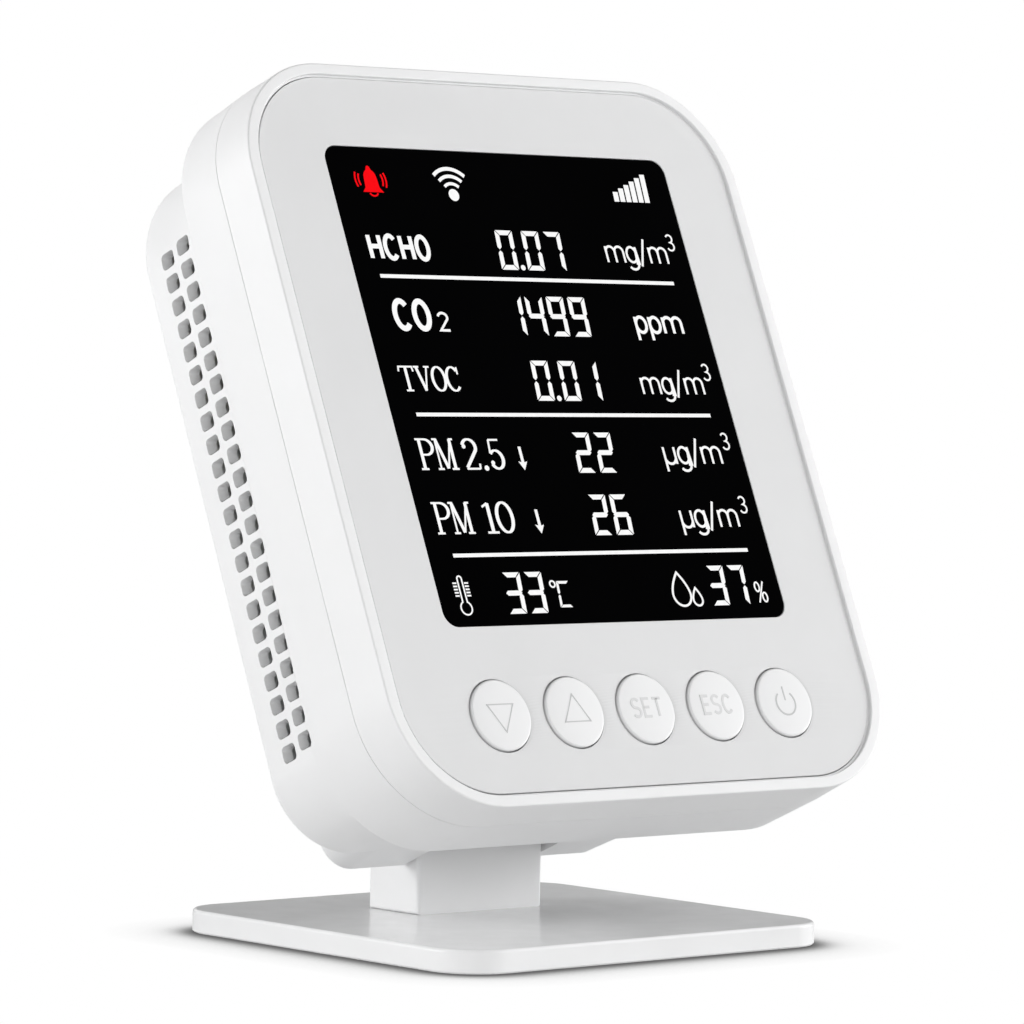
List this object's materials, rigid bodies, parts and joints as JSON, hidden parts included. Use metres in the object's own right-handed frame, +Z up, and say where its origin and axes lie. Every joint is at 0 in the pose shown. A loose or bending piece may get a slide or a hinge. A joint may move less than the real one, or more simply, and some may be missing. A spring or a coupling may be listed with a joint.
{
  "type": "carbon dioxide monitor",
  "caption": "Desktop carbon dioxide and air quality monitor: a rounded display housing with press buttons and side vents, tilting on a weighted stand.",
  "frame": {"origin": "on the table, under the middle of the base", "axes": "+Z up, the face looks towards -Y, +X to the right of someone reading it"},
  "size_m": [0.1, 0.0736, 0.1346],
  "materials": {
    "casing_white": "satin moulded",
    "plate_white": "fine matte",
    "button_white": "satin moulded",
    "stand_white": "satin moulded",
    "pad_black": "matte",
    "window_tint": "gloss",
    "lcd_black": "gloss",
    "lcd_light": "lit",
    "light_guide": "clear",
    "tray_black": "matte",
    "ribbon_amber": "film",
    "board_green": "solder mask",
    "chip_black": "matte",
    "screw_steel": "zinc plated",
    "plate_steel": "galvanised",
    "cell_gold": "gold plated",
    "shield_tin": "tinned",
    "filter_white": "porous membrane",
    "washer_nylon": "nylon",
    "connector_ivory": "moulded",
    "cell_foil": "laminated foil",
    "lead_red": "insulated wire"
  },
  "bodies": {
    "stand": {"base_pad": "pad_black", "base_plate": "stand_white", "ballast_plate": "plate_steel", "stem": "stand_white", "stem_screws": "screw_steel", "hinge_pin": "screw_steel", "pin_clips": "screw_steel", "friction_washers": "washer_nylon"},
    "housing": {"front_casing": "casing_white", "face_plate": "plate_white", "display_window": "window_tint", "lcd_panel": "lcd_black", "lcd_backlight": "light_guide", "lcd_frame": "tray_black", "lcd_ribbon": "ribbon_amber", "main_board": "board_green", "board_components": "chip_black", "board_screws": "screw_steel", "tact_switches": "tray_black", "co2_sensor": "cell_gold", "co2_filter": "filter_white", "formaldehyde_sensor": "connector_ivory", "voc_sensor": "shield_tin", "temp_humidity_sensor": "filter_white", "particle_sensor_case": "shield_tin", "particle_sensor_lid": "shield_tin", "fan_shaft": "screw_steel", "buzzer": "tray_black", "wireless_module": "shield_tin", "usb_port": "shield_tin", "battery": "cell_foil", "battery_leads": "lead_red", "battery_connector": "connector_ivory", "rear_casing": "casing_white", "casing_screws": "screw_steel", "hinge_housing": "casing_white", "hinge_screws": "screw_steel"},
    "fan": {"fan_rotor": "tray_black"},
    "key_down": {"button_down": "button_white", "plunger_down": "connector_ivory"},
    "key_up": {"button_up": "button_white", "plunger_up": "connector_ivory"},
    "key_set": {"button_set": "button_white", "plunger_set": "connector_ivory"},
    "key_escape": {"button_escape": "button_white", "plunger_escape": "connector_ivory"},
    "key_power": {"button_power": "button_white", "plunger_power": "connector_ivory"}
  },
  "joints": [
    {"name": "housing_tilt", "type": "hinge", "parent": "stand", "child": "housing", "pos_m": [0, 0.01147, 0.034], "axis": [1, 0, 0], "range_deg": [-12, 12]},
    {"name": "fan_spin", "type": "hinge", "parent": "housing", "child": "fan", "pos_m": [0.031, 0.0068, 0.08356], "axis": [0, 0.9161, -0.401], "continuous": true},
    {"name": "down_press", "type": "slide", "parent": "housing", "child": "key_down", "axis": [0, 0.9161, -0.401], "range_m": [0, 0.0005], "stiffness_N_per_m": 60},
    {"name": "up_press", "type": "slide", "parent": "housing", "child": "key_up", "axis": [0, 0.9161, -0.401], "range_m": [0, 0.0005], "stiffness_N_per_m": 60},
    {"name": "set_press", "type": "slide", "parent": "housing", "child": "key_set", "axis": [0, 0.9161, -0.401], "range_m": [0, 0.0005], "stiffness_N_per_m": 60},
    {"name": "escape_press", "type": "slide", "parent": "housing", "child": "key_escape", "axis": [0, 0.9161, -0.401], "range_m": [0, 0.0005], "stiffness_N_per_m": 60},
    {"name": "power_press", "type": "slide", "parent": "housing", "child": "key_power", "axis": [0, 0.9161, -0.401], "range_m": [0, 0.0005], "stiffness_N_per_m": 60}
  ]
}
